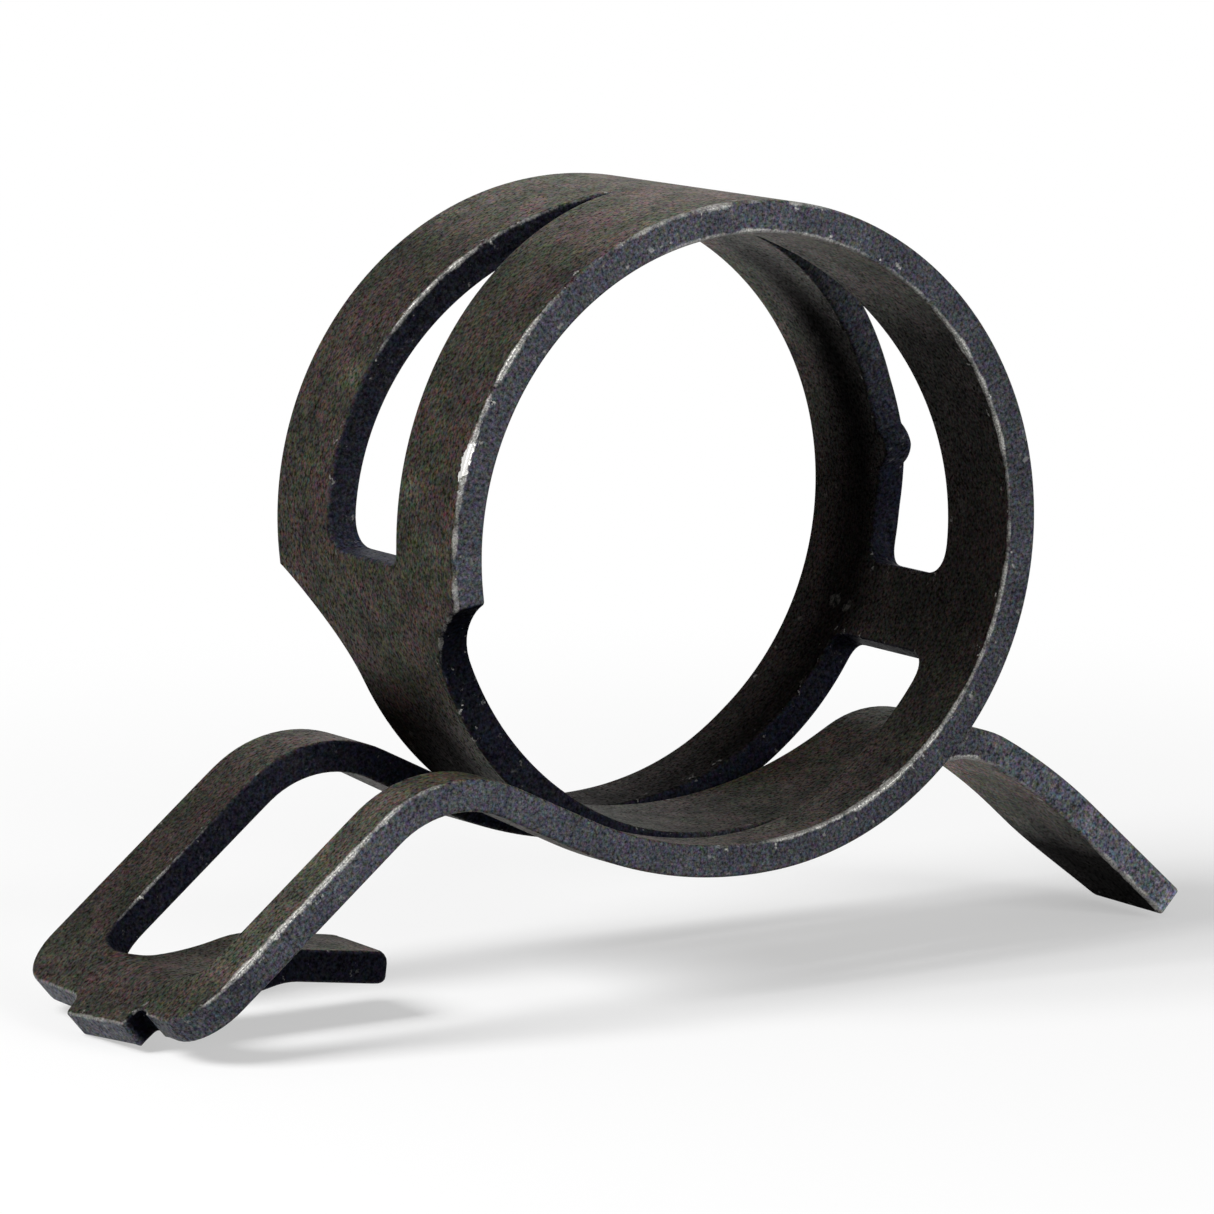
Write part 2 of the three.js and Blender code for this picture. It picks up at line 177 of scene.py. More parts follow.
# ---- camera: fitted to the photo ----
PHOTO_WIDE = 1214  # pixels
FOCAL = 6652.37  # focal length in the photo's pixels
SENSOR = 36  # width in millimetres
CAM_TURN, CAM_DOWN = rad(-30.1119), rad(8.5068)  # it looks along +Y, turned and down by these
CAM_LEAN = rad(0.78)  # the whole fit is then turned by this round the Y axis
RING_SEEN = (1.6076, 2.8978, 217.0156)  # the ring's centre from the camera: right, up and ahead


def left_s(deg):
    """Place along the left side at so many degrees round the ring."""
    return RM * rad(deg - CROWN)


def right_s(deg):
    return RM * rad(CROWN - deg)


def clamp01(t):
    return np.clip(t, 0.0, 1.0)


def ease(t):
    c = clamp01(t)
    return c * c * (3 - 2 * c)


def lerp(a, b, t):
    return a + (b - a) * t


# ---- paths ----
class Path:
    """Stretches of constant curvature. side is 1 where the ring's outside lies left of travel, else -1."""

    def __init__(self, x, z, heading, side, stretches):
        rows, s = [], 0.0
        for length, turn in stretches:
            k = turn / length
            rows.append((s, x, z, heading, k))
            x, z, heading = self.step(x, z, heading, k, length)
            s += length
        self.rows, self.length, self.side = np.array(rows), s, side

    @staticmethod
    def step(x, z, h, k, ds):
        """Place and heading after going ds at curvature k."""
        if abs(k) < 1e-9:
            return x + ds * math.cos(h), z + ds * math.sin(h), h
        g = h + k * ds
        return x + (math.sin(g) - math.sin(h)) / k, z - (math.cos(g) - math.cos(h)) / k, g

    def at(self, s):
        """Place, outward direction and heading at s: x, z, nx, nz and the angle."""
        s = np.asarray(s, float)
        i = np.clip(np.searchsorted(self.rows[:, 0], s, "right") - 1, 0, len(self.rows) - 1)
        s0, x, z, h, k = self.rows[i].T
        ds = s - s0
        g = h + k * ds
        bent = np.abs(k) > 1e-9
        divisor = np.where(bent, k, 1.0)
        px = x + np.where(bent, (np.sin(g) - np.sin(h)) / divisor, ds * np.cos(h))
        pz = z + np.where(bent, -(np.cos(g) - np.cos(h)) / divisor, ds * np.sin(h))
        return px, pz, -np.sin(g) * self.side, np.cos(g) * self.side, g


def bend(r, deg, sign):
    """A stretch of a path: its length, and how far it turns."""
    return (r * rad(deg), sign * rad(deg))


def ring(deg):
    """Place on the ring's middle surface, from the ring's centre."""
    return RM * math.cos(rad(deg)), RM * math.sin(rad(deg))


def tongue_path(tip):
    return Path(*ring(CROWN), rad(CROWN + 90), -1, [
        bend(RM, TONGUE.leave - CROWN, 1),
        bend(TONGUE.low_r, TONGUE.low, 1),
        (TONGUE.rise, 0),
        bend(TONGUE.bend_r, TONGUE.bend, -1),
        bend(TONGUE.curve_r, TONGUE.curve, -1),
        (tip, 0),
    ])


def lowest(path, s):
    """Height of the strip's lower face or edge at s."""
    _, z, _, nz, _ = path.at(s)
    return float(z - abs(nz) * T / 2)


fork = Path(*ring(CROWN), rad(CROWN - 90), 1, [
    bend(RM, CROWN - FORK.leave, -1),
    bend(FORK.low_r, FORK.low, -1),
    (FORK.rise, 0),
    bend(FORK.bend_r, FORK.bend, 1),
    (FORK.ear, 0),
])
fork_end = fork.length

# The right ear is as long as it takes for both ears to stand on one level.
probe = tongue_path(1.0)
shortfall = lowest(probe, probe.length) - lowest(fork, fork_end - STUB_SLANT / 2)
tongue = tongue_path(1 + shortfall / -math.sin(float(probe.at(probe.length)[4])))
tongue_end = tongue.length

ear_rise = 90 + FORK.leave - FORK.low + FORK.bend  # slope of the left ear
fold_turn = ear_rise + FINGER.sag
finger_x, finger_z = (float(v) for v in fork.at(fork_end - FINGER.start)[:2])
finger = Path(finger_x, finger_z, rad(ear_rise), 1, [
    (FINGER.fold - FINGER.start, 0),
    bend(FINGER.fold_r, fold_turn, -1),
    (FINGER.dip, rad(FINGER.sag + FINGER.rise)),
    bend(FINGER.crest_r, FINGER.rise + FINGER.fall, -1),
    (FINGER.tip, 0),
])
finger_long = FINGER.start + finger.length
finger_tip = fork_end - finger_long


# ---- outlines of the blank: smooth chains joined at corners ----
def line(p, q, spacing=0.05):
    n = max(2, int(math.hypot(q[0] - p[0], q[1] - p[1]) / spacing))
    t = np.linspace(0, 1, n + 1)[:, None]
    return np.array(p, float) * (1 - t) + np.array(q, float) * t


def curve(fn, s0, s1, n=400):
    s = np.linspace(s0, s1, n)
    return np.column_stack([s, fn(s)])


def arc_lengths(chain):
    return np.concatenate([[0], np.cumsum(np.hypot(*np.diff(chain, axis=0).T))])


def cut(chain, start, end):
    """The part of the chain from start past its beginning to end before its end."""
    d = arc_lengths(chain)
    inside = chain[(d > start + 1e-6) & (d < d[-1] - end - 1e-6)]
    tips = [np.array([np.interp(v, d, chain[:, i]) for i in (0, 1)]) for v in (start, d[-1] - end)]
    return np.vstack([tips[0], inside, tips[1]])


def join(*chains):
    """One closed outline from chains, each with the radius of the corner where the next one starts."""
    out = []
    for i, (chain, radius) in enumerate(chains):
        body = cut(chain, chains[i - 1][1], radius)
        out.append(body)
        if radius > 0:
            following = chains[(i + 1) % len(chains)][0]
            p, q, r = body[-1], chain[-1], cut(following, radius, 0)[0]
            t = np.linspace(0, 1, 14)[1:-1, None]
            out.append((1 - t) ** 2 * p + 2 * t * (1 - t) * q + t * t * r)
    points = np.vstack(out)
    apart = np.hypot(*(points - np.roll(points, 1, axis=0)).T) > 1e-6
    return points[apart]


def slot_outline(to_s, ends, middle, power, corners, nib=None):
    """A slot that widens from its tip to its other end. A nib stands on its back edge."""
    s0, s1 = to_s(ends[0]), to_s(ends[1])

    def half(s):
        return np.maximum(TIP_HALF, SLOT_HALF * (1 - clamp01((s1 - s) / (s1 - s0)) ** power))

    def back_edge(s):
        return middle + half(s) - (nib(s) if nib is not None else 0)

    front, back = curve(lambda s: middle - half(s), s0, s1), curve(back_edge, s0, s1)
    return join(
        (front, corners[0]),
        (line(front[-1], back[-1]), corners[1]),
        (back[::-1], TIP_R),
        (line(back[0], front[0], 0.02), TIP_R))


def nib_height(s):
    start, end = right_s(NIB.at + NIB.half), right_s(NIB.at - NIB.half)
    swell = SWELL * clamp01(1 - np.abs(s - (start + end) / 2) / (RM * rad(SWELL_HALF)))
    t = clamp01((s - start) / (end - start))
    return swell + NIB.high * np.maximum(0, np.sin(np.pi * t)) ** 0.7


step_s = left_s(STEP_AT)


def between(s, to_s, degrees):
    """Eases from 0 to 1 along the strip between two places round the ring."""
    start, end = (to_s(deg) for deg in degrees)
    return ease((s - start) / (end - start))


def tongue_edge(s, i):
    """Front (i = 0) or back edge of the tongue below the shoulders."""
    edge = lerp(ROOT[i], TAIL[i], between(s, left_s, NARROWS))
    if i == 1:
        slant = ease((s - tongue_end + TIP_LONG) / TIP_LONG * TIP_SLANT) / ease(TIP_SLANT)
        edge = lerp(edge, TIP_BACK, slant)
    moved_in = np.sin(np.pi / 2 * clamp01((s - step_s) / TAPER[i]) ** TAPER_POWER[i])
    return lerp((-HALF, HALF)[i], edge, moved_in)


def tongue_chain(i):
    """Points of one edge of the tongue, closest together below its shoulder."""
    near = step_s + (tongue_end - step_s) * np.linspace(0, 1, 500) ** 3
    s = np.unique(np.concatenate([near, np.linspace(step_s, tongue_end, 1500)]))
    return np.column_stack([s, tongue_edge(s, i)])


def left_outline():
    front, back = tongue_chain(0), tongue_chain(1)
    return join(
        (line((-OVER, -HALF), (step_s, -HALF)), SHOULDER_R[0]),
        (front, TONGUE_R),
        (line(front[-1], back[-1]), TONGUE_R),
        (back[::-1], SHOULDER_R[1]),
        (line((step_s, HALF), (-OVER, HALF)), 0),
        (line((-OVER, HALF), (-OVER, -HALF)), 0))


end_front, end_back = (fork_end - behind for behind in END_SET)


def ear_back(s):
    bend_s = fork_end - FORK.ear - FORK.bend_r * rad(FORK.bend)
    return lerp(HALF, EAR_BACK, ease((s - bend_s + EAR_EASE.before) / EAR_EASE.length))


def round_corner(s0, y0, r, side):
    """Quarter turn at the ear's end: from the side edge at y0 to the end edge at s0."""
    t = np.linspace(0, np.pi / 2, 24)
    return np.column_stack([s0 - r + r * np.sin(t), y0 - side * (r - r * np.cos(t))])


def right_outline():
    front_corner = round_corner(end_front, -HALF, END_R[0], -1)
    back_corner = round_corner(end_back, ear_back(end_back), END_R[1], 1)
    foot_front, foot_back = (end_front, STUB[0] - STUB_FOOT[0]), (end_back, STUB[1] + STUB_FOOT[1])
    stub_front, stub_back = (fork_end - STUB_SLANT, STUB[0]), (fork_end, STUB[1])
    t = np.linspace(0, np.pi, 22)[1:-1]
    notch = np.column_stack([
        end_front - NOTCH.deep * np.sin(t), foot_front[1] - NOTCH.wide * (1 + np.cos(t)) / 2])
    to_notch = line(front_corner[-1], (end_front, foot_front[1] - NOTCH.wide))
    return join(
        (line((-OVER, -HALF), front_corner[0]), 0),
        (np.vstack([front_corner, to_notch[1:], notch]), STUB_R.notch),
        (line(foot_front, stub_front), STUB_R.front),
        (line(stub_front, stub_back), STUB_R.back),
        (line(stub_back, foot_back), STUB_R.foot),
        (np.vstack([line(foot_back, back_corner[-1]), back_corner[::-1][1:]]), 0),
        (curve(ear_back, -OVER, back_corner[0, 0], 900)[::-1], 0),
        (line((-OVER, HALF), (-OVER, -HALF)), 0))


def window_edge(s, i):
    return lerp(WIN_TOP[i], WIN_LOW[i], between(s, right_s, WIDENS))


def finger_edge(s, i):
    """Edge of the finger in the blank, at s along the fork's strip."""
    if i == 0:
        return FINGER_Y[0] + 0 * s
    along = fork_end - FINGER.start - s
    fold_end = FINGER.fold - FINGER.start + FINGER.fold_r * rad(fold_turn)
    return FINGER_Y[1] + FLARE * clamp01(1 - along / (fold_end + FLARE_PAST)) ** 2


def window_outline():
    """The window, with the finger left standing in it."""
    top, end = right_s(BRIDGE_END), fork_end - PLATE
    front, back = (curve(lambda s: window_edge(s, i), top, end) for i in (0, 1))
    finger_front, finger_back = (curve(lambda s: finger_edge(s, i), end, finger_tip) for i in (0, 1))
    return join(
        (front, WIN_END_R[0]),
        (line(front[-1], finger_front[0]), ROOT_R[0]),
        (finger_front, FINGER_R),
        (line(finger_front[-1], finger_back[-1]), FINGER_R),
        (finger_back[::-1], ROOT_R[1]),
        (line(finger_back[0], back[-1]), WIN_END_R[1]),
        (back[::-1], WIN_TOP_R[1]),
        (line(back[0], front[0]), WIN_TOP_R[0]))


def turning(before, after):
    """Signed angle from each direction to the next."""
    crossed = before[:, 0] * after[:, 1] - before[:, 1] * after[:, 0]
    return np.arctan2(crossed, (before * after).sum(1))


def spaced(outline):
    """Resamples a closed outline: far apart where it is straight, close together where it turns."""
    closed = np.vstack([outline, outline[:1]])
    d = arc_lengths(closed)
    n = int(d[-1] / DENSE)
    u = np.linspace(0, d[-1], n, endpoint=False)
    dense = np.column_stack([np.interp(u, d, closed[:, i]) for i in (0, 1)])
    before, after = dense - np.roll(dense, TURN_REACH, axis=0), np.roll(dense, -TURN_REACH, axis=0) - dense
    turn, pad = np.abs(turning(before, after)), SMOOTH - 1
    wrapped = np.concatenate([turn[-pad:], turn, turn[:pad]])
    turn = np.convolve(wrapped, np.ones(SMOOTH) / SMOOTH, "same")[pad:-pad]
    radius = TURN_REACH * d[-1] / n / np.maximum(turn, 1e-6)
    gap = np.clip(PER_RADIUS * radius, FINE, WIDE)
    count = np.cumsum(1 / gap) * (d[-1] / n)
    total = int(math.ceil(count[-1]))
    pick = np.searchsorted(count, np.linspace(0, count[-1], total, endpoint=False) + 1e-9)
    return dense[np.unique(np.clip(pick, 0, n - 1))]


def in_loops(points, loops):
    """Which points lie inside an odd number of the closed loops."""
    inside = np.zeros(len(points), bool)
    x, y = points.T
    for loop in loops:
        for (x0, y0), (x1, y1) in zip(loop, np.roll(loop, -1, axis=0)):
            if y0 != y1:
                inside ^= ((y0 > y) != (y1 > y)) & (x < (x1 - x0) * (y - y0) / (y1 - y0) + x0)
    return inside


def distance_to(points, loops, batch=1500):
    """Distance from each point to the nearest loop."""
    best = np.full(len(points), 1e9)
    for loop in loops:
        ab = np.roll(loop, -1, axis=0) - loop
        for i in range(0, len(points), batch):
            p = points[i:i + batch, None, :]
            t = clamp01(((p - loop) * ab).sum(2) / np.maximum((ab * ab).sum(1), 1e-12))
            apart = np.linalg.norm(p - loop - t[..., None] * ab, axis=2).min(1)
            best[i:i + batch] = np.minimum(best[i:i + batch], apart)
    return best


def signed_area(loop):
    x, y = loop.T
    return 0.5 * float(np.sum(x * np.roll(y, -1) - np.roll(x, -1) * y))


def outward(loop):
    d = np.roll(loop, -1, axis=0) - np.roll(loop, 1, axis=0)
    d /= np.maximum(np.hypot(*d.T), 1e-12)[:, None]
    return np.column_stack([d[:, 1], -d[:, 0]])


def largest_rounding(loop):
    """The largest edge rounding that fits each point: smaller where the outline turns a sharp corner."""
    before, after = loop - np.roll(loop, 1, axis=0), np.roll(loop, -1, axis=0) - loop
    turn = turning(before, after)
    to_last, to_next = np.hypot(*before.T), np.hypot(*after.T)
    fits = np.where(turn > 1e-3, 0.7 * (to_last + to_next) / 2 / np.maximum(turn, 1e-3), 1.0)
    for _ in range(8):
        fits = np.minimum(fits, np.roll(fits, 1) + 0.3 * to_last)
        fits = np.minimum(fits, np.roll(fits, -1) + 0.3 * to_next)
    return np.clip(fits, 0.015, 1.0)


# ---- from the flat blank to the bent strip ----
def place_left(s, y, n):
    x, z, nx, nz, _ = tongue.at(s)
    return np.column_stack([x + nx * n, y, z + nz * n])


def twist(s, y):
    """How far the fork hangs at each y below its front edge, from the forming."""
    at = [right_s(deg) for deg, _ in TWIST]
    return np.interp(s, at, [drop for _, drop in TWIST]) * (y + HALF) / W


def place_right(s, y, n):
    x, z, nx, nz, _ = fork.at(s)
    drop = twist(s, y)
    flat = np.column_stack([x + nx * n, y, z - drop + nz * n])
    # The finger's root leaves the plate at the fold. Beside it the plate is pulled down a little.
    back = fork_end - s
    beside = np.maximum(0, np.maximum(finger_edge(s, 0) - y, y - finger_edge(s, 1)))
    in_finger = (back > FINGER.fold) & (back <= finger_long + PAST_TIP)
    share = np.where(in_finger, 1 - ease(beside / PULLED), 0.0)[:, None]
    x, z, nx, nz, _ = finger.at(back - FINGER.start)
    folded = np.column_stack([x - nx * n, y, z - drop - nz * n])
    return flat * (1 - share) + folded * share


def tip_rounding(loop):
    """Extra rounding of the edges round the finger's tip."""
    from_tip = loop[:, 0] - finger_tip
    from_middle = np.abs(loop[:, 1] - sum(FINGER_Y) / 2)
    on_finger = (from_tip > -0.01) & (from_middle < 0.55 * (FINGER_Y[1] - FINGER_Y[0]))
    return np.where(on_finger, TIP_ROUND * (1 - ease(from_tip / TIP_ROUND_LONG)), 0.0)


class Side:
    """One half of the strip, drawn whole and divided at its seams. sign is -1 left, 1 right."""

    def __init__(self, sign, path, place, outlines, seams, tight):
        self.sign, self.path, self.place = sign, path, place
        self.seams, self.tight = seams, tight
        self.vertices, self.facing, self.on_cut, self.outline = [], [], [], []
        self.faces, self.seam_lands = [], {}
        self.loops = [self.prepared(outline, i == 0) for i, outline in enumerate(outlines)]
        self.rings = [self.edge_rows(i, loop) for i, loop in enumerate(self.loops)]
        for rows in self.rings:
            self.wall_faces(rows)
        for up in (1, -1):
            self.fill(up)
        self.blank = np.array(self.vertices)
        self.facing = np.array(self.facing, float)
        self.on_cut, self.outline = np.array(self.on_cut), np.array(self.outline)
        self.inset = distance_to(self.blank[:, :2], self.loops)
        self.bend()

    def add(self, vertex, facing, on_cut=0.0, outline=-1):
        """Adds a vertex of the blank: the way it faces, its share of wall, and its outline."""
        self.vertices.append(vertex)
        self.facing.append(facing)
        self.on_cut.append(on_cut)
        self.outline.append(outline)
        return len(self.vertices) - 1

    def prepared(self, outline, outer):
        """An outline with its points spaced, the strip on its left, and a point on every seam."""
        loop = spaced(outline)
        if (signed_area(loop) > 0) != outer:
            loop = loop[::-1]
        for seam in self.seams:
            side = loop[:, 0] > seam
            for i in np.nonzero(side != np.roll(side, -1))[0]:
                j = (i + 1) % len(loop)
                a, b = loop[i].copy(), loop[j].copy()
                if abs(a[0] - b[0]) < 1e-12:
                    continue
                t = (seam - a[0]) / (b[0] - a[0])
                nearest = i if t < 0.5 else j
                loop[nearest] = a + (b - a) * t
                loop[nearest, 0] = seam
        return loop

    def edge_rows(self, number, loop):
        """The rounded edge of one outline: rows of vertices from the outer face to the inner one."""
        out = outward(loop)
        # A point on a seam moves along the seam, so that it stays on it.
        on_seam = np.isin(np.round(loop[:, 0], 9), np.round(self.seams, 9))[:, None]
        along_seam = np.column_stack([np.zeros(len(loop)), np.sign(out[:, 1])])
        shift = np.where(on_seam, along_seam / np.maximum(0.5, np.abs(out[:, 1]))[:, None], out)
        extra = tip_rounding(loop) if number == WINDOW else np.zeros(len(loop))
        limit = largest_rounding(loop) + 2 * extra
        outer_row, inner_row = ROUND_OUT + TIP_ROUND_OUT * extra, ROUND_IN + extra
        profile = [(a, 1) for a in EDGE_ANGLES] + [(0, 0)] + [(-a, -1) for a in EDGE_ANGLES[::-1]]
        rows = []
        for angle, face in profile:
            r = np.minimum(outer_row if face >= 0 else inner_row, limit)
            cos, sin = math.cos(rad(angle)), math.sin(rad(angle))
            moved = loop - shift * (r * (1 - cos))[:, None]
            height = face * (T / 2 - r) + r * sin
            rows.append(np.array([
                self.add((s, y, n), (ox * cos, oy * cos, sin), cos ** 1.5, number)
                for (s, y), n, (ox, oy) in zip(moved, height, out)]))
        return rows

    def wall_faces(self, rows):
        for top, low in zip(rows, rows[1:]):
            for i in range(len(top)):
                j = (i + 1) % len(top)
                self.faces.append([top[i], low[i], low[j], top[j]])

    def fill(self, up):
        """Covers the outer (up = 1) or the inner face (-1) with triangles."""
        borders = [rows[0] if up > 0 else rows[-1] for rows in self.rings]
        bounds = [np.array([self.vertices[v][:2] for v in border]) for border in borders]
        numbers, edges = [], []
        for border in borders:
            first, count = len(numbers), len(border)
            numbers += list(border)
            edges += [(first + i, first + (i + 1) % count) for i in range(count)]
        for seam in self.seams:
            self.seam_lands[(seam, up)] = self.divide(seam, up, numbers, edges)
        for s, y in self.grid(bounds):
            numbers.append(self.add((s, y, up * T / 2), (0, 0, up)))
        flat = [Vector(self.vertices[v][:2]) for v in numbers]
        made = delaunay_2d_cdt(flat, edges, [], 0, 1e-7)
        points, triangles, origins = np.array([tuple(v) for v in made[0]]), made[2], made[3]
        crossings = [tuple(np.round(p, 3)) for p, origin in zip(points, origins) if not origin]
        if crossings:
            raise ValueError(f"outlines cross at {crossings}")
        inside = in_loops(np.array([points[list(t)].mean(0) for t in triangles]), bounds)
        for triangle in (t for t, kept in zip(triangles, inside) if kept):
            a, b, c = (points[q] for q in triangle)
            ccw = (b[0] - a[0]) * (c[1] - a[1]) - (b[1] - a[1]) * (c[0] - a[0]) > 0
            face = [numbers[origins[q][0]] for q in triangle]
            self.faces.append(face if ccw == (up > 0) else face[::-1])

    def divide(self, seam, up, numbers, edges):
        """Adds the seam's line over each land between outlines, and gives the lands' vertices."""
        on = [k for k, v in enumerate(numbers) if abs(self.vertices[v][0] - seam) < 1e-9]
        on.sort(key=lambda k: self.vertices[numbers[k]][1])
        lands = []
        for first, last in zip(on[0::2], on[1::2]):
            y0, y1 = (self.vertices[numbers[k]][1] for k in (first, last))
            count = max(1, int((y1 - y0) / SEAM_STEP))
            chain = [first]
            for q in range(1, count):
                chain.append(len(numbers))
                numbers.append(self.add((seam, y0 + (y1 - y0) * q / count, up * T / 2), (0, 0, up)))
            chain.append(last)
            edges += zip(chain, chain[1:])
            lands.append([numbers[k] for k in chain])
        return lands

    def grid(self, bounds):
        """Inner points of a face, in rows across the strip that are closer where it is sharply bent."""
        rows, s = [], -OVER
        last = max(bound[:, 0].max() for bound in bounds)
        while s < last:
            rows.append(s)
            s += next((step for start, end, step in self.tight if start <= s < end), GRID_STEP)
        rows = np.array(rows)
        rows = rows[np.abs(rows[:, None] - np.array(self.seams)).min(1) > SEAM_CLEAR]
        across = np.linspace(-HALF + GRID_IN, HALF - GRID_IN, GRID_ACROSS)
        points = np.array([(s, y) for s in rows for y in across])
        points = points[in_loops(points, bounds)]
        return points[distance_to(points, bounds) > EDGE_CLEAR]

    def bend(self):
        """Lays the blank along the side's bends, and turns the directions with it."""
        s, y, n = self.blank.T
        e = 1e-4
        along = self.place(s + e, y, n) - self.place(s - e, y, n)
        across = self.place(s, y + e, n) - self.place(s, y - e, n)
        through = self.place(s, y, n + e) - self.place(s, y, n - e)
        turned = np.stack([along, across, through], axis=2) / (2 * e)
        normals = np.einsum("vi,vij->vj", self.facing, np.linalg.inv(turned))
        self.normals = normals / np.linalg.norm(normals, axis=1)[:, None]
        self.mirrored = float(np.linalg.det(turned[0])) < 0
        self.xyz = (self.place(s, y, n) + np.array([ORIGIN[0], 0, ORIGIN[1]])) * MM

    def caps(self, start, end):
        """The closing faces of the piece between two seams."""
        out = []
        for seam, way in ((start, -1), (end, 1)):
            if seam is None:
                continue
            for top, low in zip(self.seam_lands[(seam, 1)], self.seam_lands[(seam, -1)]):
                edge = list(top) + self.wall(top[-1])[1:-1] + list(low)[::-1] + self.wall(top[0])[1:-1][::-1]
                out.append(edge[::way])
        return out

    def wall(self, top_vertex):
        """The vertices below one on the outer face's border, down to the inner face."""
        for rows in self.rings:
            i = top_vertex - rows[0][0]
            if 0 <= i < len(rows[0]):
                return [int(row[i]) for row in rows]
        raise ValueError("not on an outline")


ring_end = left_s(TONGUE.leave)
left_slot = slot_outline(left_s, SLOT_L, SLOT_Y_L, POWER_L, CORNER_L)
right_slot = slot_outline(right_s, SLOT_R, SLOT_Y_R, POWER_R, CORNER_R, nib_height)
left = Side(
    sign=-1, path=tongue, place=place_left,
    outlines=[left_outline(), left_slot],
    seams=[0.0, left_s(CROWN + SEAM_MID), left_s(SEAM_L)],
    tight=[(ring_end + TONGUE_TIGHT.start, ring_end + TONGUE_TIGHT.end, TONGUE_TIGHT.step)])
right = Side(
    sign=1, path=fork, place=place_right,
    outlines=[right_outline(), right_slot, window_outline()],
    seams=[0.0, right_s(CROWN - SEAM_MID), right_s(SEAM_R)],
    tight=[(fork_end - fold.start, fork_end - fold.end, fold.step) for fold in (FORK_TIGHT, FINGER_TIGHT)])


# ---- wear of the finish, and its painted light and shade ----
def bump(v, mid, half):
    """1 at mid, and 0 from half on each side of it."""
    return np.clip(1 - np.abs((v - mid) / half), 0, 1) ** 0.7


def rubs(v, *spots):
    """Rubbed spots along v, each with its strength, middle and half length."""
    return sum(strength * bump(v, mid, half) for strength, mid, half in spots)


def graded(v, *stops):
    """Goes from stop to stop, each a place along v and the value there."""
    return np.interp(v, *zip(*stops))


def worn_left(side, outer, inner):
    s, y, _ = side.blank.T
    end = tongue_end - s
    front = y < np.where(s > step_s, tongue_edge(s, 0), -HALF) + RUB_WIDE
    beside_slot = (side.outline < 0) & (y > SLOT_Y_L) & (y < HALF / 2) & (s < left_s(SLOT_L[1]))
    slot_back = (side.outline == SLOT) & (y > 0) | beside_slot
    rubbed = front * inner * rubs(s, (0.9, left_s(92), 5))
    rubbed += front * outer * rubs(s, (0.75, left_s(97), 3.5), (0.55, left_s(140), 9))
    rubbed += front * outer * rubs(s, (0.5, left_s(166), 6.5), (0.35, step_s, 1.6), (0.4, left_s(205), 3))
    rubbed += front * outer * rubs(end, (1, 10.5, 4.5), (1, 2, 5))
    rubbed += slot_back * outer * rubs(s, (0.45, left_s(128), 9), (0.4, left_s(124), 4.5))
    return rubbed


def worn_right(side, outer, inner):
    s, y, _ = side.blank.T
    leg = fork_end - s
    front = y < -HALF + RUB_WIDE
    rubbed = front * outer * rubs(s, (0.75, right_s(83), 3.5))
    rubbed += front * inner * rubs(s, (0.5, right_s(88), 5), (0.45, right_s(66), 4), (0.9, right_s(34), 4.5))
    rubbed += front * inner * rubs(s, (0.45, right_s(7), 3.2), (0.6, right_s(-15), 2.8))
    rubbed += front * inner * rubs(s, (0.95, right_s(-54), 6), (0.5, right_s(-84), 6))
    rubbed += front * inner * rubs(leg, (0.95, 7.5, 6.5), (0.55, 4, 2.2))
    rubbed += (side.outline == WINDOW) * (y > 0) * inner * rubs(leg, (0.45, 6, 4))
    rubbed += inner * rubs(leg, (0.5, 0.3, 1.4))
    return rubbed


def worn(side):
    """How far the finish is rubbed off the edges: 0 not at all, about 1 to the bare steel."""
    n = side.blank[:, 2]
    outer, inner = ease(0.5 + 1.5 * n / T), ease(0.5 - 1.5 * n / T)
    worn_side = worn_left if side.sign < 0 else worn_right
    return RUB_LEAST + worn_side(side, outer, inner)


def left_painted_shading_and_specks(side, inner, turn):
    """Painted light and shade on the left side's faces and walls, with a few pale specks. turn is in degrees
    from the crown's middle.
    """
    s, y, _ = side.blank.T
    end = tongue_end - s
    # Painted light: the outer face is palest on top at the crown and darker down the side.
    outer_face = graded(
        turn, (0, 1.55), (25, 1.3), (45, 0.5), (62, 0.58), (118, 0.75), (135, 0.7), (150, 0.5), (170, 0.3))
    # Painted shadow on the tongue under the fork.
    outer_face = outer_face * lerp(1, 0.08, ease((y + 4.2) / 2.6) * ease((turn - 114) / 18))
    for deg, across in SPECKS:
        outer_face = outer_face + 0.7 * np.exp(-((s - left_s(deg)) / 0.42) ** 2 - ((y - across) / 0.5) ** 2)
    # Painted light on the right ear's underside, as from the floor below, fading to painted shade at its tip.
    under = graded(end, (0, 0.02), (3.2, 0.08), (5.5, 2.2), (8, 7.0), (14, 4.0))
    under = under * lerp(0.7, 1.6, ease((y + 0.5) / 3))
    outer_face = lerp(outer_face, under, ease((turn - 178) / 25))
    # Painted light on the inner face near the crown, fading to painted shade further round.
    face = lerp(outer_face, graded(turn, (0, 2.5), (12, 1.6), (30, 0.6)), inner)
    # Front walls: painted shade in the recess below the shoulder.
    rim = graded(
        s, (0, 1.5), (12, 1.15), (step_s - 0.1, 1.3), (step_s - 0.02, 0.04), (step_s + 5, 0.2),
        (left_s(262), 0.3), (left_s(272), 1.0))
    # The right ear's front wall: painted highlight at its tip's end, painted shade near the ring.
    ear_rim = graded(end, (0, 7.0), (0.5, 2.5), (4, 2.3), (8, 1.8), (11, 1.1), (13.5, 0.55), (16, 0.7))
    rim = np.where(end < 16, ear_rim, rim)
    # The slot's walls get painted shade, the back walls a little.
    wall = np.where(side.outline > 0, 0.45, np.where(side.facing[:, 1] < 0, rim, 0.8))
    return face, wall


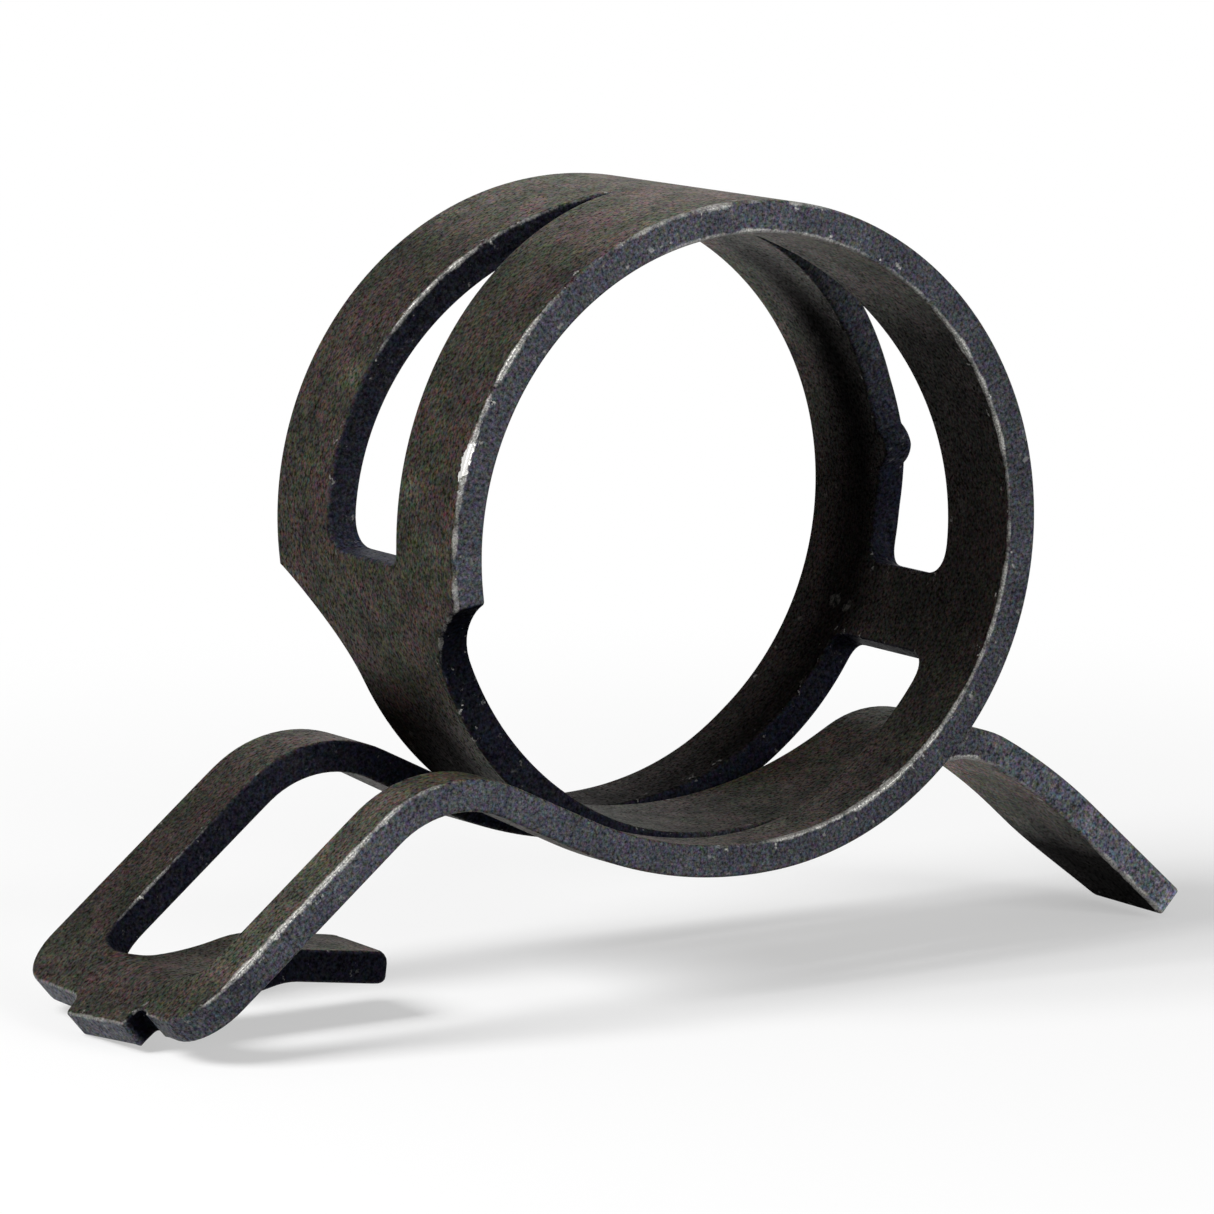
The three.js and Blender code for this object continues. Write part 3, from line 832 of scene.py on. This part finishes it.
def right_painted_shading(side, inner, turn):
    """Painted light and shade on the right side's faces and walls."""
    s, y, _ = side.blank.T
    leg = fork_end - s
    # Painted shade inside the ring, darkest on the back half, with painted light at the crown and along the
    # back edge.
    front = graded(turn, (0, 2.5), (25, 1.8), (45, 0.3), (105, 0.24), (140, 0.55), (170, 0.95))
    back = graded(turn, (0, 2.6), (12, 2.1), (26, 0.4), (45, 0.03), (105, 0.035), (140, 0.035), (170, 0.12))
    back_edge = graded(turn, (15, 2.2), (35, 3.2), (55, 0.7), (80, 0.12))
    back = back + back_edge * ease((y - 3.4) / 2.4)
    in_ring = lerp(front, back, ease((y - 0.6) / 2.2))
    # Painted light and shade on the ear's inner face: lighter at the front and in a patch at the back, evened
    # out near its end.
    on_ear = lerp(1.05, 0.42, ease((y + 3.5) / 4)) + 0.5 * bump(leg, 12.5, 3) * ease(y / 2)
    on_ear = lerp(on_ear, 0.62, ease((3.6 - leg) / 1.5))
    inner_face = lerp(in_ring, on_ear, ease((24 - leg) / 6))
    # The outer face is painted lighter on top at the crown.
    face = lerp(graded(turn, (0, 1.55), (30, 1.0)), inner_face, inner)
    # Front walls painted lighter along the ear and at the stub's end.
    rim = graded(leg, (0.9, 2.1), (1.6, 1.3), (3, 1.0), (5, 1.3), (8, 1.45), (14, 1.55), (24, 1.05))
    rim = np.where(turn < 60, graded(turn, (0, 1.5), (22, 1.2), (40, 1.05)), rim)
    # Painted shadow in the notch beside the stub.
    in_notch = (s > end_front - NOTCH.deep - 0.1) & (y > STUB[0] - NOTCH.wide) & (y < STUB[0] + 0.12)
    below_stub = ease((fork_end - STUB_SLANT - 0.03 - s) / 0.13)
    rim = np.where(in_notch, lerp(rim, 0.1, below_stub), rim)
    # Painted shade on the walls of the slot and the window.
    in_slot = graded(turn, (20, 0.8), (60, 0.6), (80, 0.25))
    in_window = graded(leg, (2, 0.2), (5, 0.32), (12, 0.4), (16, 0.25))
    hole_wall = np.where(side.outline == SLOT, in_slot, in_window)
    # Painted shade on the finger's walls.
    on_finger = (s > finger_tip - 0.2) & (y > FINGER_Y[0] - 0.3) & (y < FINGER_Y[1] + 0.9)
    hole_wall = np.where(on_finger, 0.12, hole_wall)
    return face, np.where(side.outline > 0, hole_wall, rim)


def painted_shading_and_specks(side):
    """How pale the finish is painted against its mean: painted shade inside the ring and in the openings,
    painted light on top, and a few pale specks.
    """
    s, _, n = side.blank.T
    side_shading_and_specks = left_painted_shading_and_specks if side.sign < 0 else right_painted_shading
    face, wall = side_shading_and_specks(side, ease(0.5 - n / T), np.degrees(s / RM))
    return lerp(face, wall, side.on_cut ** 0.6)


# ---- the steel ----
class Nodes:
    """The emptied node tree of a material or a world, with a short call for each kind of node."""

    def __init__(self, owner):
        owner.use_nodes = True
        self.tree = owner.node_tree
        self.tree.nodes.clear()

    def add(self, kind, inputs=None, **settings):
        node = self.tree.nodes.new("ShaderNode" + kind)
        for name, value in settings.items():
            setattr(node, name, value)
        for name, value in (inputs or {}).items():
            self.feed(node.inputs[name], value)
        return node

    def feed(self, socket, value):
        """Links an output to the socket, or sets the socket to a value."""
        if isinstance(value, bpy.types.NodeSocket):
            self.tree.links.new(value, socket)
        else:
            socket.default_value = (*value, 1) if socket.type == "RGBA" else value

    def attribute(self, name):
        return self.add("Attribute", attribute_type="GEOMETRY", attribute_name=name).outputs["Fac"]

    def vector(self, x, y, z):
        return self.add("CombineXYZ", {0: x, 1: y, 2: z}).outputs[0]

    def math(self, operation, *values, clamp=False):
        return self.add("Math", dict(enumerate(values)), operation=operation, use_clamp=clamp).outputs[0]

    def plus(self, a, b):
        return self.math("ADD", a, b)

    def minus(self, a, b):
        return self.math("SUBTRACT", a, b)

    def times(self, a, b, clamp=False):
        return self.math("MULTIPLY", a, b, clamp=clamp)

    def vector_math(self, operation, inputs, output=0):
        return self.add("VectorMath", inputs, operation=operation).outputs[output]

    def noise(self, at, scale, detail, rough, output="Fac"):
        inputs = {"Vector": at, "Scale": scale, "Detail": detail, "Roughness": rough}
        return self.add("TexNoise", inputs).outputs[output]

    def remap(self, value, start, end, low=0.0, high=1.0, **settings):
        inputs = {"Value": value, "From Min": start, "From Max": end, "To Min": low, "To Max": high}
        return self.add("MapRange", inputs, **settings).outputs["Result"]

    def mix(self, share, a, b, mode="MIX"):
        return self.add("Mix", {0: share, 6: a, 7: b}, data_type="RGBA", blend_type=mode).outputs[2]

    def mix_shader(self, share, a, b):
        return self.add("MixShader", {0: share, 1: a, 2: b}).outputs[0]


def face_colour(t, p, patchy, shading_and_specks):
    """Brown and olive clouds with dark patches, redder where painted shade darkens it."""
    col = t.mix(t.remap(t.noise(p, 0.55, 5, 0.62), 0.38, 0.62), BROWN, OLIVE)
    col = t.mix(t.remap(shading_and_specks, 0.45, 0.1, 0.0, 0.7), col, RED_IN_PAINTED_SHADE)
    return t.mix(t.remap(patchy, 0.4, 0.64, 0.0, 0.8), col, DARK_PATCH)


def wall_colour(t, patchy, streak, shading_and_specks):
    """Grey punched edges with dark streaks through the thickness, bluer where painted shade darkens them."""
    col = t.mix(t.remap(patchy, 0.3, 0.7), WALL_DARK, WALL_PALE)
    col = t.mix(t.remap(streak, 0.4, 0.7, 0.0, 0.5), col, WALL_STREAK)
    return t.mix(t.remap(shading_and_specks, 0.7, 0.3, 0.0, 0.8), col, WALL_IN_PAINTED_SHADE)


def bare_share(t, p, n, inset, rub, fleck):
    """Where the finish is rubbed through: an uneven line along some edges, and nicks beside it."""
    from_edge = t.plus(inset, t.minus(T / 2, t.math("ABSOLUTE", n)))
    width = t.times(rub, t.remap(t.noise(p, 1.3, 5, 0.72), 0.32, 0.64, 0.09, 0.25))
    line_share = t.math("DIVIDE", t.minus(width, from_edge), 0.09, clamp=True)
    line_share = t.times(line_share, t.remap(fleck, 0.35, 0.62, 0.25, 0.95))
    nick = t.times(t.remap(t.noise(p, 3.1, 4, 0.6), 0.64, 0.69), t.remap(rub, 0.05, 0.5, 0.25, 0.9))
    return t.math("MAXIMUM", line_share, t.times(t.remap(from_edge, 0.55, 0.1), nick, clamp=True))


def chip_share(t, p, s, y, n):
    """One deep chip on the outer front edge of the left side."""
    stretched = t.vector(
        t.times(t.plus(s, left_s(CHIP_AT)), CHIP_SCALE[0]),
        t.times(t.plus(y, HALF - CHIP_IN), CHIP_SCALE[1]),
        t.times(t.minus(n, T / 2), CHIP_SCALE[2]))
    away = t.vector_math("LENGTH", {0: stretched}, "Value")
    ragged = t.remap(t.noise(p, 3.0, 4, 0.62), 0.3, 0.7, -0.35, 0.35)
    return t.remap(t.plus(away, ragged), 0.5, 0.38)


def steel():
    mat = bpy.data.materials.new("black_spring_steel")
    t = Nodes(mat)
    s, y, n = (t.attribute(name) for name in ("along", "across", "through"))
    # The last attribute read here is the painted light and shade, with the pale specks.
    wall, inset, rub, shading_and_specks = (t.attribute(name) for name in ("cut", "inset", "worn", "painted_shading_and_specks"))
    p = t.vector(s, y, n)
    patchy = t.noise(p, 1.1, 4, 0.6)
    grain = t.noise(p, 9.0, 3, 0.65)
    fleck = t.noise(p, 16.0, 2, 0.6)
    streak = t.noise(t.vector(t.times(s, 7.0), t.times(y, 7.0), t.times(n, 0.9)), 1.0, 3, 0.6)

    col = t.mix(wall, face_colour(t, p, patchy, shading_and_specks), wall_colour(t, patchy, streak, shading_and_specks))
    tint = t.noise(p, 6.0, 3, 0.65, "Color")
    hue = t.vector_math("MULTIPLY_ADD", {0: tint, 1: HUE_SPREAD, 2: HUE_BASE})
    col = t.mix(t.remap(wall, 0.0, 1.0, 1.0, 0.55), col, hue, "MULTIPLY")
    grain_level = t.times(t.remap(grain, 0.34, 0.66, 0.35, 1.65), t.remap(fleck, 0.3, 0.7, 0.55, 1.45))
    # The colour is scaled by the grain and by the painted light and shade.
    col = t.vector_math("SCALE", {0: col, "Scale": t.times(grain_level, shading_and_specks)})

    rubbed = t.times(t.remap(t.noise(p, 0.75, 5, 0.7), 0.63, 0.74, 0.0, 0.35), t.minus(1.0, wall))
    bare, chip = bare_share(t, p, n, inset, rub, fleck), chip_share(t, p, s, y, n)
    for share, colour in ((rubbed, RUBBED), (bare, BARE), (chip, CHIPPED)):
        col = t.mix(share, col, colour)
    bare = t.math("MAXIMUM", bare, chip)

    # The sheen follows the painted light and shade, up to a cap.
    gloss = t.times(t.remap(grain, 0.36, 0.64, 0.0, 0.16), t.math("MINIMUM", shading_and_specks, 1.3))
    height = t.plus(t.times(grain, 0.5), t.times(fleck, 0.3))
    height = t.plus(height, t.times(patchy, 0.8))
    height = t.plus(height, t.times(t.times(streak, wall), 0.9))
    height = t.minus(height, t.times(chip, 1.5))
    relief = t.add("Bump", {"Strength": 0.45, "Distance": 0.00003, "Height": height})
    shader = t.add("BsdfPrincipled", {
        "Base Color": col,
        "Metallic": t.times(bare, 0.7),
        "Specular IOR Level": t.plus(gloss, t.times(bare, 0.3)),
        "Roughness": t.minus(t.remap(patchy, 0.3, 0.7, 0.46, 0.6), t.times(bare, 0.14)),
        "Normal": relief.outputs[0],
    })
    t.add("OutputMaterial", {"Surface": shader.outputs[0]})
    return mat


# ---- pieces ----
def put(name, data):
    ob = bpy.data.objects.new(name, data)
    bpy.context.scene.collection.objects.link(ob)
    return ob


def flat_normal(points, face):
    a, b, c = (points[face[q]] for q in (0, len(face) // 3, 2 * len(face) // 3))
    normal = np.cross(b - a, c - a)
    return tuple(normal / np.linalg.norm(normal))


def readings(side):
    """What the steel reads at every point."""
    s, y, n = side.blank.T
    return {
        "along": s * side.sign, "across": y, "through": n, "cut": side.on_cut, "inset": side.inset,
        "worn": worn(side), "painted_shading_and_specks": painted_shading_and_specks(side)}


def build(name, side, start, end):
    """Makes the piece of one side between seams start and end, or up to its tip."""
    middle = np.array([side.blank[face, 0].mean() for face in side.faces])
    picked = (middle > start) & (middle < (math.inf if end is None else end))
    faces = [list(map(int, side.faces[i])) for i in np.nonzero(picked)[0]]
    smooth_count = len(faces)
    faces += side.caps(start, end)
    if side.mirrored:
        faces = [face[::-1] for face in faces]
    used = sorted({v for face in faces for v in face})
    number = {v: i for i, v in enumerate(used)}
    mesh = bpy.data.meshes.new(name)
    mesh.from_pydata([tuple(v) for v in side.xyz[used]], [], [[number[v] for v in face] for face in faces])
    mesh.polygons.foreach_set("use_smooth", [True] * len(faces))
    sharp = {key for cap in mesh.polygons[smooth_count:] for key in cap.edge_keys}
    is_sharp = mesh.attributes.new("sharp_edge", "BOOLEAN", "EDGE")
    is_sharp.data.foreach_set("value", [edge.key in sharp for edge in mesh.edges])
    for key, values in readings(side).items():
        data = mesh.attributes.new(key, "FLOAT", "POINT").data
        data.foreach_set("value", np.asarray(values[used], np.float32))
    mesh.update()
    normals = [tuple(side.normals[v]) for face in faces[:smooth_count] for v in face]
    normals += [flat_normal(side.xyz, face) for face in faces[smooth_count:] for _ in face]
    mesh.normals_split_custom_set(normals)
    return put(name, mesh)


def on_path(side, degrees):
    """Place in the frame on the strip's middle surface, so many degrees from the crown's middle."""
    x, z = (float(v) for v in side.path.at(RM * rad(degrees))[:2])
    return ((x + ORIGIN[0]) * MM, 0.0, (z + ORIGIN[1]) * MM)


mat = steel()
LEFT_RAILS = ("left_rail_front", "left_rail_back")
RIGHT_RAILS = ("right_rail_front", "right_rail_back")
# Each piece: its number along its side, its bodies, the flex in it, and the nodes that it replaces.
for name, side, number, bodies, flex, nodes in (
        ("crown_left", left, 0, ("crown", "left_shoulder"), FLEX_IN, ("crown_band", *LEFT_RAILS)),
        ("left_side", left, 1, ("left_shoulder", "tongue_arm"), FLEX_OUT, (*LEFT_RAILS, "tongue_side")),
        ("tongue", left, 2, ("tongue_arm",), None, ("tongue_side",)),
        ("crown_right", right, 0, ("crown", "right_shoulder"), FLEX_IN, ("crown_band", *RIGHT_RAILS)),
        ("right_side", right, 1, ("right_shoulder", "fork_arm"), FLEX_OUT, (*RIGHT_RAILS, "fork_side")),
        ("fork", right, 2, ("fork_arm",), None, ("fork_side",))):
    ob = build(name, side, *(side.seams + [None])[number:number + 2])
    ob.data.materials.append(mat)
    if flex is None:
        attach(ob, bodies[0])
    else:
        on_path(side, flex - FLEX_REACH)
        on_path(side, flex + FLEX_REACH)
        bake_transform(ob)
    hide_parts(*nodes)


# ---- floor, backdrop and light ----
def seen_rays(t):
    """1 for the rays that show the background: straight from the camera, mirrored or through glass."""
    path = t.add("LightPath")
    seen = path.outputs["Is Camera Ray"]
    for name in ("Is Glossy Ray", "Is Transmission Ray"):
        seen = t.math("MAXIMUM", seen, path.outputs[name])
    return seen


def floor_white():
    """White with the clamp's shadow where it is seen, and grey for the light that it throws back."""
    mat = bpy.data.materials.new("floor")
    t = Nodes(mat)
    shaded = t.add("BsdfDiffuse", {"Color": (FLOOR_NEAR,) * 3}).outputs[0]
    grey = t.add("BsdfDiffuse", {"Color": (FLOOR_BOUNCE,) * 3}).outputs[0]
    white = t.add("Emission", {"Color": WHITE, "Strength": 1.0}).outputs[0]
    away = t.vector_math("LENGTH", {0: t.add("NewGeometry").outputs["Position"]}, "Value")
    fade = t.remap(away, *FLOOR_FADE, FLOOR_GLOW, 1.0, interpolation_type="SMOOTHSTEP")
    seen = t.mix_shader(fade, shaded, white)
    t.add("OutputMaterial", {"Surface": t.mix_shader(seen_rays(t), grey, seen)})
    return mat


def lay_floor():
    mesh = bpy.data.meshes.new("floor")
    h = FLOOR_HALF
    mesh.from_pydata([(-h, -h, 0), (h, -h, 0), (h, h, 0), (-h, h, 0)], [], [(0, 1, 2, 3)])
    mesh.materials.append(floor_white())
    put("floor", mesh)


def studio():
    """A white backdrop that gives only a soft light."""
    world = bpy.data.worlds.new("studio")
    bpy.context.scene.world = world
    t = Nodes(world)
    soft, white = (
        t.add("Background", {"Color": WHITE, "Strength": strength}).outputs[0] for strength in (SKY, 1.0))
    t.add("OutputWorld", {"Surface": t.mix_shader(seen_rays(t), soft, white)})


def area(name, at, size, power):
    """A round lamp that points at the clamp."""
    data = bpy.data.lights.new(name, "AREA")
    data.shape = "DISK"
    data.size = size
    data.energy = power
    ob = put(name, data)
    ob.location = at
    ob.rotation_euler = (Vector(LAMPS_AIM) - Vector(at)).to_track_quat("-Z", "Y").to_euler()


lay_floor()
studio()
area("key", (-0.32, 0.03, 0.32), 0.26, 2.2)
area("fill", (0.1, -0.42, 0.09), 0.24, 1.3)


# ---- camera: fitted to the photo ----
def camera():
    rightward = Vector((math.cos(CAM_TURN), math.sin(CAM_TURN), 0))
    level = Vector((-math.sin(CAM_TURN), math.cos(CAM_TURN), 0))
    ahead = level * math.cos(CAM_DOWN) - Vector((0, 0, math.sin(CAM_DOWN)))
    lean = Matrix.Rotation(CAM_LEAN, 3, "Y")
    axes = [lean @ axis for axis in (rightward, rightward.cross(ahead), ahead)]
    ring_at = Vector((ORIGIN[0], 0, ORIGIN[1]))
    place = ring_at - sum((axis * far for axis, far in zip(axes, RING_SEEN)), Vector())
    data = bpy.data.cameras.new("camera")
    data.sensor_width = SENSOR
    data.lens = FOCAL / PHOTO_WIDE * SENSOR
    data.clip_start, data.clip_end = 0.01, 20
    ob = put("camera", data)
    turned = Matrix((axes[0], axes[1], -axes[2])).transposed()
    ob.matrix_world = Matrix.Translation(place * MM) @ turned.to_4x4()
    bpy.context.scene.camera = ob


camera()
bpy.context.scene.view_settings.view_transform = "Standard"

bpy.context.view_layer.update()
